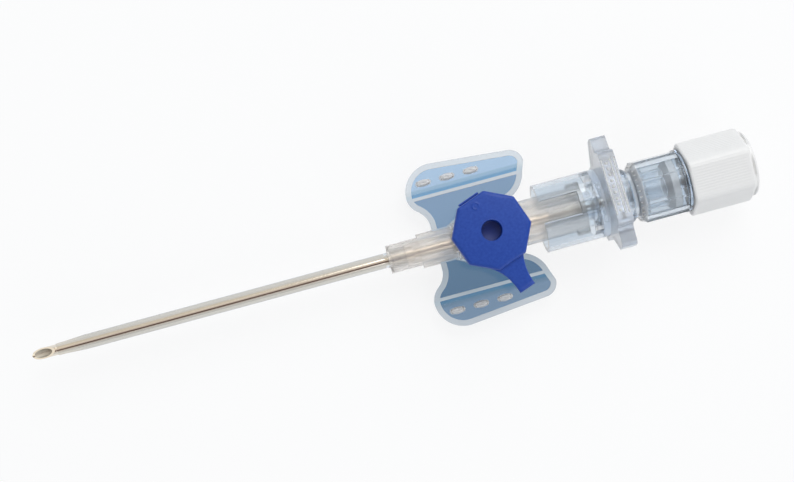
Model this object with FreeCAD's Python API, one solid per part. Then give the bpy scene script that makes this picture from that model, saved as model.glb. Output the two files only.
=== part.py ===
import FreeCAD, Part
import math
import os

os.makedirs("parts", exist_ok=True)
Vec = FreeCAD.Vector

# An intravenous cannula with a port and wings, all sizes in millimetres.
# X runs along the cannula from the needle's point to the stopper, Z points up through
# the port, and the origin is the centre of the hub's nose face, where the tube comes out.

# Needle and catheter tube
CATHETER_LENGTH = 50.0
CATHETER_DIAMETER = 2.2
CATHETER_BORE = 1.7
CATHETER_TAPER = 5.0
CATHETER_TIP_DIAMETER = 1.84
NEEDLE_DIAMETER = 1.6
NEEDLE_BORE = 1.2
BEVEL_LENGTH = 3.95
BEVEL_LEAD = 0.2
NEEDLE_TAIL = 0.8

# Joint of the tube in the hub's nose, whose flare starts just in front of the nose face
GRIP_START = -0.12
GRIP_FLARE = 0.5
GRIP_LENGTH = 2.2
GRIP_SWELL = 0.3
FERRULE_WALL = 0.14
FERRULE_LENGTH = 3.4

# Catheter hub
HUB_LENGTH = 29.3
NOSE_DIAMETER = 4.16
NOSE_LENGTH = 4.7
SHOULDER_DIAMETER = 5.1
SHOULDER_LENGTH = 4.7
FLARE_LENGTH = 1.5
BARREL_DIAMETER = 6.64
HUB_BORE = 3.2
LUG_REACH = 0.58
LUG_LENGTH = 1.9
LUG_WIDTH = 3.6

# Luer cones: mouth diameter, taper of the diameter, and depth of each socket
LUER_MOUTH = 4.3
LUER_TAPER = 0.06
HUB_SOCKET_DEPTH = 6.9
NEEDLE_HUB_SOCKET_DEPTH = 5.2
END_SOCKET_DEPTH = 4.9

# Injection port and its valve
PORT_X = 15.0
PORT_HEIGHT = 7.3
CHIMNEY_DIAMETER = 6.2
CHIMNEY_LIP = 0.4
CHIMNEY_LIP_HEIGHT = 0.8
PORT_SOCKET_DEPTH = 3.0
PORT_HOLE = 2.4
VALVE_WALL = 0.36
VALVE_LENGTH = 8.6
VALVE_SEAT = 10.4

# Wings
WING_FRONT = 4.85
WING_LENGTH = 18.3
WING_HALF_SPAN = 12.38
WING_FRONT_SCALLOP = 2.42
WING_REAR_SCALLOP = 4.9
WING_TIP_FALL = 1.1
WING_FOLD = 7.9
WING_ROOT = 3.7
WING_CORNER = 2.1
WING_HEEL_LENGTH = 1.76
WING_HEEL_RISE = 0.67
WING_NOTCH = 0.6
WING_DROP = 3.9
WING_FILM = 0.45
RIM_WIDTH = 0.85
RIM_HEIGHT = 0.95
FOLD_RIDGE_WIDTH = 0.5
FOLD_GROOVE_WIDTH = 0.5
FOLD_GROOVE_DEPTH = 0.2
BUMP_COUNT = 3
BUMP_FIRST = 7.9
BUMP_PITCH = 3.65
BUMP_ROW = 9.8
BUMP_LENGTH = 2.2
BUMP_WIDTH = 0.9
BUMP_HEIGHT = 0.35
BUMP_BEVEL = 0.2
KEEL_WIDTH = 2.6

# How far each curve of a wing's edge and of the cap's tab stands off its chord, as a
# share of the chord, and a minus sign makes it hollow
NECK_BOW = -0.095
WAIST_BOW = 0.105
TIP_BOW = 0.216
CORNER_BOW = 0.2
HEEL_BOW = 0.113
TAB_BOW = -0.045

# Port cap and the ring that holds it
CAP_SIDES = 8
CAP_ACROSS_FLATS = 10.5
CAP_CROWN = 1.2
CAP_SKIRT = 1.4
CAP_BEVEL = 0.35
CAP_TURN = -3.0
CAP_PLUG_DIAMETER = 3.8
CAP_PLUG_LENGTH = 1.0
CAP_RECESS_DIAMETER = 2.92
CAP_RECESS_DEPTH = 1.7
TAB_REACH = 9.5
TAB_ROOT_WIDTH = 4.2
TAB_END_WIDTH = 2.5
TAB_OFFSET = -0.35
TAB_STEP = 0.5
TAB_FALL = 1.0
TAB_THICKNESS = 0.95
TAB_LIP = 0.3
RING_HEIGHT = 1.1
RING_WALL = 0.6
RING_DROP = 1.0
HINGE_WIDTH = 3.2
HINGE_LEAF = 0.35

# Needle hub
NEEDLE_HUB_TURN = 9.0
NEEDLE_HUB_CONE = 5.2
SLEEVE_DIAMETER = 10.1
SLEEVE_WALL = 0.65
SLEEVE_COVER = 6.5
SLEEVE_SLOT_WIDTH = 3.3
SLEEVE_SLOT_LENGTH = 5.6
WINDOW_LENGTH = 1.2
WINDOW_INNER = 2.6
WINDOW_OUTER = 4.3
WINDOW_SETBACK = 0.5
WEB_THICKNESS = 1.0
PLATE_THICKNESS = 2.2
PLATE_HALF_WIDTH = 8.15
PLATE_TOP = 9.2
PLATE_TAB_HALF_WIDTH = 5.45
PLATE_TAB_RISE = 2.0
PLATE_EAR_DEPTH = 2.4
PLATE_EAR_SLOPE = 0.4
PLATE_EAR_TAPER = 3.5
PLATE_FOOT = 5.4
PLATE_FOOT_HALF_WIDTH = 3.0
PLATE_FOOT_RISE = 2.7
PLATE_CORNER = 0.9
NECK_LENGTH = 2.6
NECK_DIAMETER = 7.9
NECK_END_DIAMETER = 6.72
NECK_TAPER = 0.75

# Flash chamber, its filter and its rear end
CHAMBER_SIDES = 8
CHAMBER_TURN = 16.6
CHAMBER_RADIUS = 4.8
CHAMBER_LENGTH = 6.95
CHAMBER_CHAMFER = 0.7
CHAMBER_FLOOR = 0.8
CHAMBER_BORE = 7.8
CHAMBER_CONE = 3.3
CHAMBER_PASSAGE = 2.3
SPILL_TUBE_DIAMETER = 4.96
SPILL_TUBE_WALL = 0.5
SPILL_TUBE_LENGTH = 3.6
FILTER_THICKNESS = 1.0
SPIGOT_LENGTH = 0.9
FLANGE_DIAMETER = 9.34
FLANGE_THICKNESS = 0.45
END_TUBE_DIAMETER = 6.2
END_TUBE_LENGTH = 7.1
END_PASSAGE = 2.0

# Luer stopper
STOPPER_SIDES = 6
STOPPER_TURN = 20.0
STOPPER_RADIUS = 5.71
STOPPER_CORNER = 1.0
STOPPER_LENGTH = 9.7
STOPPER_CORE_DIAMETER = 9.64
STOPPER_CORE_STEP = 0.6
STOPPER_BORE = 8.4
STOPPER_CONE = 4.9
STOPPER_FLOOR = 2.2
STOPPER_CHAMFER = 0.35

# Clearances
PRESS_GAP = 0.02
LUER_GAP = 0.03
FACE_GAP = 0.15
CAP_GAP = 0.35
CAP_TOP_GAP = 0.1
HINGE_GAP = 0.2
CUT_EXTRA = 1.0

# Bore that both the valve and the foot of the hub's luer socket share
VALVE_DIAMETER = LUER_MOUTH - LUER_TAPER * HUB_SOCKET_DEPTH - 2 * PRESS_GAP

# Stations along X that several pieces share
HUB_SOCKET_FLOOR = HUB_LENGTH - HUB_SOCKET_DEPTH
FLARE_END = GRIP_START + GRIP_FLARE
GRIP_END = FLARE_END + GRIP_LENGTH
SLEEVE_FRONT = HUB_LENGTH - SLEEVE_COVER
WINDOW_FRONT = HUB_LENGTH + WINDOW_SETBACK
WEB_FRONT = WINDOW_FRONT + WINDOW_LENGTH
PLATE_FRONT = WEB_FRONT + WEB_THICKNESS
PLATE_REAR = PLATE_FRONT + PLATE_THICKNESS
NECK_REAR = PLATE_REAR + NECK_LENGTH
NEEDLE_HUB_SOCKET_FLOOR = NECK_REAR - NEEDLE_HUB_SOCKET_DEPTH
NEEDLE_END = NEEDLE_HUB_SOCKET_FLOOR + NEEDLE_TAIL
CHAMBER_FRONT = NECK_REAR + FACE_GAP
CHAMBER_REAR = CHAMBER_FRONT + CHAMBER_LENGTH
FLANGE_REAR = CHAMBER_REAR + FLANGE_THICKNESS
END_MOUTH = FLANGE_REAR + END_TUBE_LENGTH
STOPPER_FRONT = FLANGE_REAR + FACE_GAP
STOPPER_REAR = STOPPER_FRONT + STOPPER_LENGTH
CAP_UNDERSIDE = PORT_HEIGHT + CAP_TOP_GAP
CAP_BOTTOM = CAP_UNDERSIDE - CAP_SKIRT
CAP_TOP = CAP_UNDERSIDE + CAP_CROWN
TAB_ANGLE = CAP_TURN - 1.5 * 360 / CAP_SIDES
RING_TOP = PORT_HEIGHT - CHIMNEY_LIP_HEIGHT - RING_DROP
RING_BOTTOM = RING_TOP - RING_HEIGHT
HINGE_REACH = CAP_ACROSS_FLATS / 2 + HINGE_GAP
HINGE_Z = CAP_BOTTOM - HINGE_GAP


def turned_profile(points):
    """Solid of revolution about X from (x, radius) points, closed along the axis."""
    ends = [(points[0][0], 0.0)] + list(points) + [(points[-1][0], 0.0)]
    corners = [Vec(x, 0, r) for x, r in ends]
    face = Part.Face(Part.makePolygon(corners + [corners[0]]))
    return face.revolve(Vec(0, 0, 0), Vec(1, 0, 0), 360)


def rod(x_start, x_end, diameter):
    """Cylinder along X."""
    return Part.makeCylinder(diameter / 2, x_end - x_start, Vec(x_start, 0, 0), Vec(1, 0, 0))


def slab(x_span, y_span, z_span):
    """Box from three (low, high) spans."""
    size = [high - low for low, high in (x_span, y_span, z_span)]
    return Part.makeBox(size[0], size[1], size[2], Vec(x_span[0], y_span[0], z_span[0]))


def prism_along_x(sides, radius, x_start, x_end):
    """Regular prism along X with one corner on +Z."""
    angles = [2 * math.pi * i / sides for i in range(sides + 1)]
    corners = [Vec(x_start, radius * math.sin(a), radius * math.cos(a)) for a in angles]
    return Part.Face(Part.makePolygon(corners)).extrude(Vec(x_end - x_start, 0, 0))


def leaned(shape, degrees):
    """Turn a shape about the cannula's axis, its top towards +Y."""
    copy = shape.copy()
    copy.rotate(Vec(0, 0, 0), Vec(1, 0, 0), -degrees)
    return copy


def edges_along_x(shape):
    """Straight edges parallel to X."""
    found = []
    for edge in shape.Edges:
        run = edge.Vertexes[-1].Point - edge.Vertexes[0].Point
        if abs(run.x) > 1e-6 and abs(run.y) < 1e-6 and abs(run.z) < 1e-6:
            found.append(edge)
    return found


def edges_at_height(shape, z):
    """Edges that lie wholly at height z."""
    return [e for e in shape.Edges if all(abs(v.Z - z) < 1e-6 for v in e.Vertexes)]


def luer_radius(mouth_x, x):
    """Radius at x of a luer socket whose mouth is at mouth_x and opens towards +X."""
    return LUER_MOUTH / 2 - LUER_TAPER / 2 * (mouth_x - x)


def luer_socket(mouth_x, depth):
    """Hollow of a female cone that opens towards +X, with room to cut past its mouth."""
    floor_x = mouth_x - depth
    end_x = mouth_x + CUT_EXTRA
    return turned_profile(
        [
            (floor_x, luer_radius(mouth_x, floor_x)),
            (end_x, luer_radius(mouth_x, end_x)),
        ]
    )


def luer_plug(mouth_x, x_start, x_end):
    """Male cone that sits in the socket whose mouth is at mouth_x."""
    return turned_profile(
        [
            (x_start, luer_radius(mouth_x, x_start) - LUER_GAP),
            (x_end, luer_radius(mouth_x, x_end) - LUER_GAP),
        ]
    )


def lugs(mouth_x, diameter):
    """Two locking lugs on opposite sides of a luer mouth, with sloping fronts."""
    root = diameter / 2
    front = mouth_x - LUG_LENGTH
    slope = LUG_REACH / 2
    ring = turned_profile(
        [
            (front, root - LUG_REACH),
            (front, root),
            (front + slope, root + LUG_REACH),
            (mouth_x, root + LUG_REACH),
            (mouth_x, root - LUG_REACH),
        ]
    )
    reach = root + LUG_REACH + CUT_EXTRA
    return ring.common(
        slab((front, mouth_x), (-reach, reach), (-LUG_WIDTH / 2, LUG_WIDTH / 2))
    )


def make_needle():
    """Steel tube with a slanted point and two side facets that meet at its tip."""
    heel = -CATHETER_LENGTH - BEVEL_LEAD
    tip = heel - BEVEL_LENGTH
    radius = NEEDLE_DIAMETER / 2
    tube = rod(tip, NEEDLE_END, NEEDLE_DIAMETER)
    tube = tube.cut(rod(tip - CUT_EXTRA, NEEDLE_END + CUT_EXTRA, NEEDLE_BORE))
    # The main grind takes away everything above a plane from the tip's floor to the heel's top
    wedge = [
        Vec(tip, 0, -radius),
        Vec(heel, 0, radius),
        Vec(heel, 0, 2 * radius),
        Vec(tip - CUT_EXTRA, 0, 2 * radius),
        Vec(tip - CUT_EXTRA, 0, -radius),
    ]
    face = Part.Face(Part.makePolygon(wedge + [wedge[0]]))
    grind = face.extrude(Vec(0, 4 * radius, 0))
    grind.translate(Vec(0, -2 * radius, 0))
    tube = tube.cut(grind)
    # The side grinds sharpen the last third of the point
    grind_run = BEVEL_LENGTH / 3
    for side in (1, -1):
        corner = [
            Vec(tip - CUT_EXTRA, 0, -2 * radius),
            Vec(tip, 0, -2 * radius),
            Vec(tip + grind_run, side * radius, -2 * radius),
            Vec(tip + grind_run, side * 2 * radius, -2 * radius),
            Vec(tip - CUT_EXTRA, side * 2 * radius, -2 * radius),
        ]
        facet = Part.Face(Part.makePolygon(corner + [corner[0]]))
        tube = tube.cut(facet.extrude(Vec(0, 0, 4 * radius)))
    return tube


def make_catheter_tube():
    """Soft tube, tapered to the needle at its tip and flared where the hub grips it."""
    outer = CATHETER_DIAMETER / 2
    inner = CATHETER_BORE / 2
    tip = -CATHETER_LENGTH
    body = turned_profile(
        [
            (tip, CATHETER_TIP_DIAMETER / 2),
            (tip + CATHETER_TAPER, outer),
            (GRIP_START, outer),
            (FLARE_END, outer + GRIP_SWELL),
            (GRIP_END, outer + GRIP_SWELL),
        ]
    )
    hollow = turned_profile(
        [
            (tip - CUT_EXTRA, inner),
            (GRIP_START, inner),
            (FLARE_END, inner + GRIP_SWELL),
            (GRIP_END + CUT_EXTRA, inner + GRIP_SWELL),
        ]
    )
    return body.cut(hollow)


def make_ferrule():
    """Thin steel sleeve that wedges the flared end of the tube in the nose."""
    start = FLARE_END + PRESS_GAP
    end = start + FERRULE_LENGTH
    outer = CATHETER_BORE + 2 * GRIP_SWELL - 2 * PRESS_GAP
    sleeve = rod(start, end, outer)
    return sleeve.cut(rod(start - CUT_EXTRA, end + CUT_EXTRA, outer - 2 * FERRULE_WALL))


def hub_barrel():
    """Outer form of the hub: nose, shoulder, flare and barrel on one axis."""
    nose = NOSE_DIAMETER / 2
    shoulder = SHOULDER_DIAMETER / 2
    barrel = BARREL_DIAMETER / 2
    shoulder_end = NOSE_LENGTH + SHOULDER_LENGTH
    return turned_profile(
        [
            (0, nose),
            (NOSE_LENGTH, nose),
            (NOSE_LENGTH, shoulder),
            (shoulder_end, shoulder),
            (shoulder_end + FLARE_LENGTH, barrel),
            (HUB_LENGTH, barrel),
        ]
    )


def hub_hollow():
    """The way through the hub: tube grip, passage, valve seat and luer socket."""
    gripped = CATHETER_DIAMETER / 2 + PRESS_GAP
    flared = gripped + GRIP_SWELL
    valve = VALVE_DIAMETER / 2 + PRESS_GAP
    front = turned_profile(
        [
            (GRIP_START, gripped),
            (FLARE_END, flared),
            (GRIP_END, flared),
            (GRIP_END, HUB_BORE / 2),
            (VALVE_SEAT, HUB_BORE / 2),
            (VALVE_SEAT, valve),
            (HUB_SOCKET_FLOOR + PRESS_GAP, valve),
        ]
    )
    return front.fuse(luer_socket(HUB_LENGTH, HUB_SOCKET_DEPTH))


def port_axis_cylinder(diameter, z_low, z_high):
    """Cylinder on the port's upright axis."""
    return Part.makeCylinder(diameter / 2, z_high - z_low, Vec(PORT_X, 0, z_low))


def port_axis_cone(z_low, diameter_low, z_high, diameter_high):
    """Cone on the port's upright axis."""
    low, high = diameter_low / 2, diameter_high / 2
    return Part.makeCone(low, high, z_high - z_low, Vec(PORT_X, 0, z_low))


def port_chimney():
    """Upright port with a snap lip round its mouth."""
    lip = CHIMNEY_DIAMETER + 2 * CHIMNEY_LIP
    chimney = port_axis_cylinder(CHIMNEY_DIAMETER, 0, PORT_HEIGHT)
    return chimney.fuse(port_axis_cylinder(lip, PORT_HEIGHT - CHIMNEY_LIP_HEIGHT, PORT_HEIGHT))


def port_hollow():
    """Luer socket of the port and the hole below it that the valve closes."""
    floor_z = PORT_HEIGHT - PORT_SOCKET_DEPTH
    top_z = PORT_HEIGHT + CUT_EXTRA
    low = LUER_MOUTH - LUER_TAPER * PORT_SOCKET_DEPTH
    high = LUER_MOUTH + LUER_TAPER * CUT_EXTRA
    socket = port_axis_cone(floor_z, low, top_z, high)
    return socket.fuse(port_axis_cylinder(PORT_HOLE, 0, floor_z + PRESS_GAP))


def bowed(start, end, bow):
    """Middle of an arc that stands off its chord, to the left of its run, by the share bow."""
    run_x, run_y = end[0] - start[0], end[1] - start[1]
    middle_x, middle_y = (start[0] + end[0]) / 2, (start[1] + end[1]) / 2
    return middle_x - bow * run_y, middle_y + bow * run_x


def wing_path():
    """One wing's edge as a start point and (end point, bow) steps; a bow of 0 is straight.

    From the front root it runs out to the tip in front, along the tip, and back to the
    rear root by way of a notch at the fold and a heel near the hub.
    """
    front = WING_FRONT
    rear = front + WING_LENGTH
    neck_front = front + WING_FRONT_SCALLOP
    neck_rear = rear - WING_REAR_SCALLOP
    fold = WING_FOLD
    root = WING_ROOT
    tip = WING_HALF_SPAN
    tip_rear = tip - WING_TIP_FALL
    start = (neck_front, root)
    waist = ((front + neck_front) / 2, (root + fold) / 2)
    steps = [
        (waist, NECK_BOW),
        ((front, fold), WAIST_BOW),
        ((front + tip - fold, tip), TIP_BOW),
        ((rear - WING_CORNER, tip_rear), 0),
        ((rear, tip_rear - WING_CORNER), CORNER_BOW),
        ((rear - WING_NOTCH, fold - WING_NOTCH / 2), 0),
        ((neck_rear + WING_HEEL_LENGTH, root + WING_HEEL_RISE), HEEL_BOW),
        ((neck_rear, root), 0),
    ]
    return start, steps


def wing_outline(z):
    """Closed wire round both wings at height z."""
    start, steps = wing_path()
    edges = []
    for side in (1, -1):
        before = start
        for end, bow in steps:
            here = Vec(before[0], side * before[1], z)
            there = Vec(end[0], side * end[1], z)
            if bow == 0:
                edges.append(Part.LineSegment(here, there).toShape())
            else:
                middle_x, middle_y = bowed(before, end, bow)
                through = Vec(middle_x, side * middle_y, z)
                edges.append(Part.Arc(here, through, there).toShape())
            before = end
    rear_root = steps[-1][0]
    for x, y in (start, rear_root):
        edges.append(Part.LineSegment(Vec(x, -y, z), Vec(x, y, z)).toShape())
    return Part.Wire(Part.__sortEdges__(edges))


def wing_bump(x, y, z):
    """Grip bump: a bar along X with a bevelled top, rooted in the film."""
    half, side = BUMP_LENGTH / 2, BUMP_WIDTH / 2
    top = z + BUMP_HEIGHT
    bar = slab((x - half, x + half), (y - side, y + side), (z - WING_FILM / 2, top))
    return bar.makeChamfer(BUMP_BEVEL, edges_at_height(bar, top))


def wings():
    """Both wings as one plate: thin film, raised rim, fold ridges and grooves, and bumps."""
    bottom = -WING_DROP
    film_top = bottom + WING_FILM
    outline = wing_outline(bottom)
    inner = outline.makeOffset2D(-RIM_WIDTH)
    plate = Part.Face(outline).extrude(Vec(0, 0, WING_FILM))
    rim_blank = Part.Face(outline).extrude(Vec(0, 0, RIM_HEIGHT))
    rim = rim_blank.cut(Part.Face(inner).extrude(Vec(0, 0, RIM_HEIGHT)))
    rim_top = bottom + RIM_HEIGHT
    rear = WING_FRONT + WING_LENGTH
    additions = [rim]
    grooves = []
    for side in (1, -1):
        ridge = sorted((side * (WING_FOLD - FOLD_RIDGE_WIDTH), side * WING_FOLD))
        ridge_bar = slab((WING_FRONT, rear), ridge, (bottom, rim_top))
        additions.append(rim_blank.common(ridge_bar))
        groove = sorted((side * WING_FOLD, side * (WING_FOLD + FOLD_GROOVE_WIDTH)))
        groove_span = (WING_FRONT + RIM_WIDTH, rear - WING_NOTCH - RIM_WIDTH)
        groove_z = (film_top - FOLD_GROOVE_DEPTH, film_top + CUT_EXTRA)
        grooves.append(slab(groove_span, groove, groove_z))
        for i in range(BUMP_COUNT):
            bump = wing_bump(BUMP_FIRST + i * BUMP_PITCH, side * BUMP_ROW, film_top)
            additions.append(bump)
    plate = plate.cut(grooves)
    return plate.fuse(additions)


def make_catheter_hub():
    """One moulding: barrel, port chimney, wings, keel under the barrel and locking lugs."""
    neck_front = WING_FRONT + WING_FRONT_SCALLOP
    neck_rear = WING_FRONT + WING_LENGTH - WING_REAR_SCALLOP
    keel = slab(
        (neck_front, neck_rear),
        (-KEEL_WIDTH / 2, KEEL_WIDTH / 2),
        (-WING_DROP, -SHOULDER_DIAMETER / 4),
    )
    body = hub_barrel().fuse(
        [port_chimney(), keel, wings(), lugs(HUB_LENGTH, BARREL_DIAMETER)]
    )
    return body.cut([hub_hollow(), port_hollow()]).removeSplitter()


def make_port_valve():
    """Silicone sleeve that lies under the port's hole and closes it from inside."""
    start = VALVE_SEAT + PRESS_GAP
    sleeve = rod(start, start + VALVE_LENGTH, VALVE_DIAMETER)
    bore = VALVE_DIAMETER - 2 * VALVE_WALL
    return sleeve.cut(rod(start - CUT_EXTRA, start + VALVE_LENGTH + CUT_EXTRA, bore))


def cap_tab():
    """Thumb tab in its own frame, pointing along +X from the port's axis."""
    flat = CAP_ACROSS_FLATS / 2
    root_x = flat - CAP_BEVEL
    top = CAP_TOP - TAB_STEP
    end_top = top - TAB_FALL
    side_profile = [
        Vec(root_x, 0, top),
        Vec(TAB_REACH - TAB_LIP, 0, end_top),
        Vec(TAB_REACH - TAB_LIP, 0, end_top + TAB_LIP),
        Vec(TAB_REACH, 0, end_top + TAB_LIP),
        Vec(TAB_REACH, 0, end_top - TAB_THICKNESS),
        Vec(root_x, 0, top - TAB_THICKNESS),
    ]
    half_root = TAB_ROOT_WIDTH / 2
    half_end = TAB_END_WIDTH / 2
    blade = Part.Face(Part.makePolygon(side_profile + [side_profile[0]]))
    blade = blade.extrude(Vec(0, TAB_ROOT_WIDTH, 0))
    blade.translate(Vec(0, -half_root, 0))
    # Both sides of the tab draw in along hollow curves
    middle_x, middle_half = bowed((root_x, half_root), (TAB_REACH, half_end), TAB_BOW)
    edges = []
    for side in (1, -1):
        root = Vec(root_x, side * half_root, 0)
        middle = Vec(middle_x, side * middle_half, 0)
        end = Vec(TAB_REACH, side * half_end, 0)
        edges.append(Part.Arc(root, middle, end).toShape())
    for x, half in ((root_x, half_root), (TAB_REACH, half_end)):
        edges.append(Part.LineSegment(Vec(x, -half, 0), Vec(x, half, 0)).toShape())
    plan = Part.Face(Part.Wire(Part.__sortEdges__(edges))).extrude(Vec(0, 0, CAP_TOP))
    tab = blade.common(plan)
    tab.translate(Vec(0, TAB_OFFSET, 0))
    return tab


def make_port_cap():
    """Eight-sided snap cap with a plug, a round recess and a thumb tab."""
    half_side = math.pi / CAP_SIDES
    corner = CAP_ACROSS_FLATS / 2 / math.cos(half_side)
    lip = CHIMNEY_DIAMETER / 2 + CHIMNEY_LIP
    height = CAP_TOP - CAP_BOTTOM
    points = []
    for i in range(CAP_SIDES + 1):
        angle = (2 * i + 1) * half_side
        points.append(Vec(corner * math.cos(angle), corner * math.sin(angle), CAP_BOTTOM))
    body = Part.Face(Part.makePolygon(points)).extrude(Vec(0, 0, height))
    body = body.makeChamfer(CAP_BEVEL, edges_at_height(body, CAP_TOP))
    body = body.fuse(cap_tab())
    cavity = Part.makeCylinder(
        lip + CAP_GAP, CAP_SKIRT + CUT_EXTRA, Vec(0, 0, CAP_BOTTOM - CUT_EXTRA)
    )
    plug_foot = Vec(0, 0, CAP_UNDERSIDE - CAP_PLUG_LENGTH)
    plug = Part.makeCylinder(CAP_PLUG_DIAMETER / 2, CAP_PLUG_LENGTH, plug_foot)
    recess_floor = Vec(0, 0, CAP_TOP - CAP_RECESS_DEPTH)
    recess = Part.makeCylinder(CAP_RECESS_DIAMETER / 2, CAP_RECESS_DEPTH, recess_floor)
    body = body.cut(cavity).fuse(plug).cut(recess)
    body.rotate(Vec(0, 0, 0), Vec(0, 0, 1), TAB_ANGLE)
    body.translate(Vec(PORT_X, 0, 0))
    return body


def make_port_cap_ring():
    """Ring round the chimney, with an upright leaf and the bead that the cap flips on."""
    inner = CHIMNEY_DIAMETER / 2 + PRESS_GAP
    outer = inner + RING_WALL
    leaf_out = HINGE_REACH + HINGE_LEAF / 2
    half = HINGE_WIDTH / 2
    arm_top = RING_BOTTOM + RING_HEIGHT / 2
    ring = Part.makeCylinder(outer, RING_HEIGHT, Vec(0, 0, RING_BOTTOM))
    arm = slab((-leaf_out, 0), (-half, half), (RING_BOTTOM, arm_top))
    leaf = slab((-leaf_out, -leaf_out + HINGE_LEAF), (-half, half), (RING_BOTTOM, HINGE_Z))
    bead = Part.makeCylinder(
        HINGE_LEAF / 2, HINGE_WIDTH, Vec(-HINGE_REACH, -half, HINGE_Z), Vec(0, 1, 0)
    )
    hole_height = RING_HEIGHT + 2 * CUT_EXTRA
    hole = Part.makeCylinder(inner, hole_height, Vec(0, 0, RING_BOTTOM - CUT_EXTRA))
    body = ring.fuse([arm, leaf, bead]).cut(hole).removeSplitter()
    body.rotate(Vec(0, 0, 0), Vec(0, 0, 1), TAB_ANGLE)
    body.translate(Vec(PORT_X, 0, 0))
    return body


def grip_plate():
    """Plate across the needle hub: two ears for the fingers and a higher tab on top."""
    tab_foot = PLATE_TOP - PLATE_TAB_RISE
    ear_top = tab_foot - PLATE_EAR_SLOPE
    ear_bottom = ear_top - PLATE_EAR_DEPTH
    outline = [
        (-PLATE_FOOT_HALF_WIDTH, -PLATE_FOOT),
        (-PLATE_FOOT, PLATE_FOOT_RISE - PLATE_FOOT),
        (-PLATE_FOOT, ear_bottom - PLATE_EAR_TAPER),
        (-PLATE_HALF_WIDTH, ear_bottom),
        (-PLATE_HALF_WIDTH, ear_top),
        (-PLATE_TAB_HALF_WIDTH, tab_foot),
        (-PLATE_TAB_HALF_WIDTH, PLATE_TOP),
    ]
    mirrored = [(-y, z) for y, z in reversed(outline)]
    corners = [Vec(PLATE_FRONT, y, z) for y, z in outline + mirrored]
    face = Part.Face(Part.makePolygon(corners + [corners[0]]))
    plate = face.extrude(Vec(PLATE_THICKNESS, 0, 0))
    return plate.makeFillet(PLATE_CORNER, edges_along_x(plate))


def needle_hub_sleeve():
    """Sleeve over the catheter hub's mouth, slotted into two fingers, with four windows."""
    outer = SLEEVE_DIAMETER / 2
    sleeve = rod(SLEEVE_FRONT, WEB_FRONT + PRESS_GAP, SLEEVE_DIAMETER)
    bore = SLEEVE_DIAMETER - 2 * SLEEVE_WALL
    sleeve = sleeve.cut(rod(SLEEVE_FRONT - CUT_EXTRA, PLATE_FRONT, bore))
    reach = outer + CUT_EXTRA
    slot = slab(
        (SLEEVE_FRONT - CUT_EXTRA, SLEEVE_FRONT + SLEEVE_SLOT_LENGTH),
        (-SLEEVE_SLOT_WIDTH / 2, SLEEVE_SLOT_WIDTH / 2),
        (-reach, reach),
    )
    cuts = [slot]
    for side in (1, -1):
        span = sorted((side * WINDOW_INNER, side * WINDOW_OUTER))
        cuts.append(slab((WINDOW_FRONT, WEB_FRONT), span, (-reach, reach)))
    return sleeve.cut(cuts)


def make_needle_hub():
    """Clear moulding: luer cone that grips the needle, sleeve, web, grip plate and neck."""
    cone_front = HUB_LENGTH - NEEDLE_HUB_CONE
    cone = luer_plug(HUB_LENGTH, cone_front, WEB_FRONT + PRESS_GAP)
    web = rod(WEB_FRONT, PLATE_FRONT + PRESS_GAP, SLEEVE_DIAMETER)
    neck = turned_profile(
        [
            (PLATE_REAR, NECK_DIAMETER / 2),
            (NECK_REAR - NECK_TAPER, NECK_DIAMETER / 2),
            (NECK_REAR, NECK_END_DIAMETER / 2),
        ]
    )
    body = cone.fuse([web, neck, needle_hub_sleeve(), grip_plate()])
    needle_hole = rod(
        cone_front - CUT_EXTRA, NEEDLE_HUB_SOCKET_FLOOR + CUT_EXTRA, NEEDLE_DIAMETER + 2 * PRESS_GAP
    )
    body = body.cut([needle_hole, luer_socket(NECK_REAR, NEEDLE_HUB_SOCKET_DEPTH)])
    return leaned(body.removeSplitter(), NEEDLE_HUB_TURN)


def make_flash_chamber():
    """Clear eight-sided cup with a luer cone in front and a spill tube inside."""
    body = prism_along_x(CHAMBER_SIDES, CHAMBER_RADIUS, CHAMBER_FRONT, CHAMBER_REAR - PRESS_GAP)
    front_edges = [
        e for e in body.Edges if all(v.X < CHAMBER_FRONT + 1e-6 for v in e.Vertexes)
    ]
    body = body.makeChamfer(CHAMBER_CHAMFER, front_edges)
    floor_x = CHAMBER_FRONT + CHAMBER_FLOOR
    body = body.cut(rod(floor_x, CHAMBER_REAR + CUT_EXTRA, CHAMBER_BORE))
    cone_front = NECK_REAR - CHAMBER_CONE
    cone = luer_plug(NECK_REAR, cone_front, CHAMBER_FRONT + PRESS_GAP)
    spill_end = floor_x + SPILL_TUBE_LENGTH
    spill_tube = rod(floor_x - PRESS_GAP, spill_end, SPILL_TUBE_DIAMETER)
    body = body.fuse([cone, spill_tube])
    passage = rod(cone_front - CUT_EXTRA, floor_x + PRESS_GAP, CHAMBER_PASSAGE)
    spill_bore = SPILL_TUBE_DIAMETER - 2 * SPILL_TUBE_WALL
    body = body.cut([passage, rod(floor_x, spill_end + CUT_EXTRA, spill_bore)])
    return leaned(body.removeSplitter(), CHAMBER_TURN)


def make_vent_filter():
    """Porous disc that lets air out of the flash chamber and keeps blood in."""
    rear = CHAMBER_REAR - SPIGOT_LENGTH - PRESS_GAP
    return rod(rear - FILTER_THICKNESS, rear, CHAMBER_BORE - 2 * PRESS_GAP)


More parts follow.
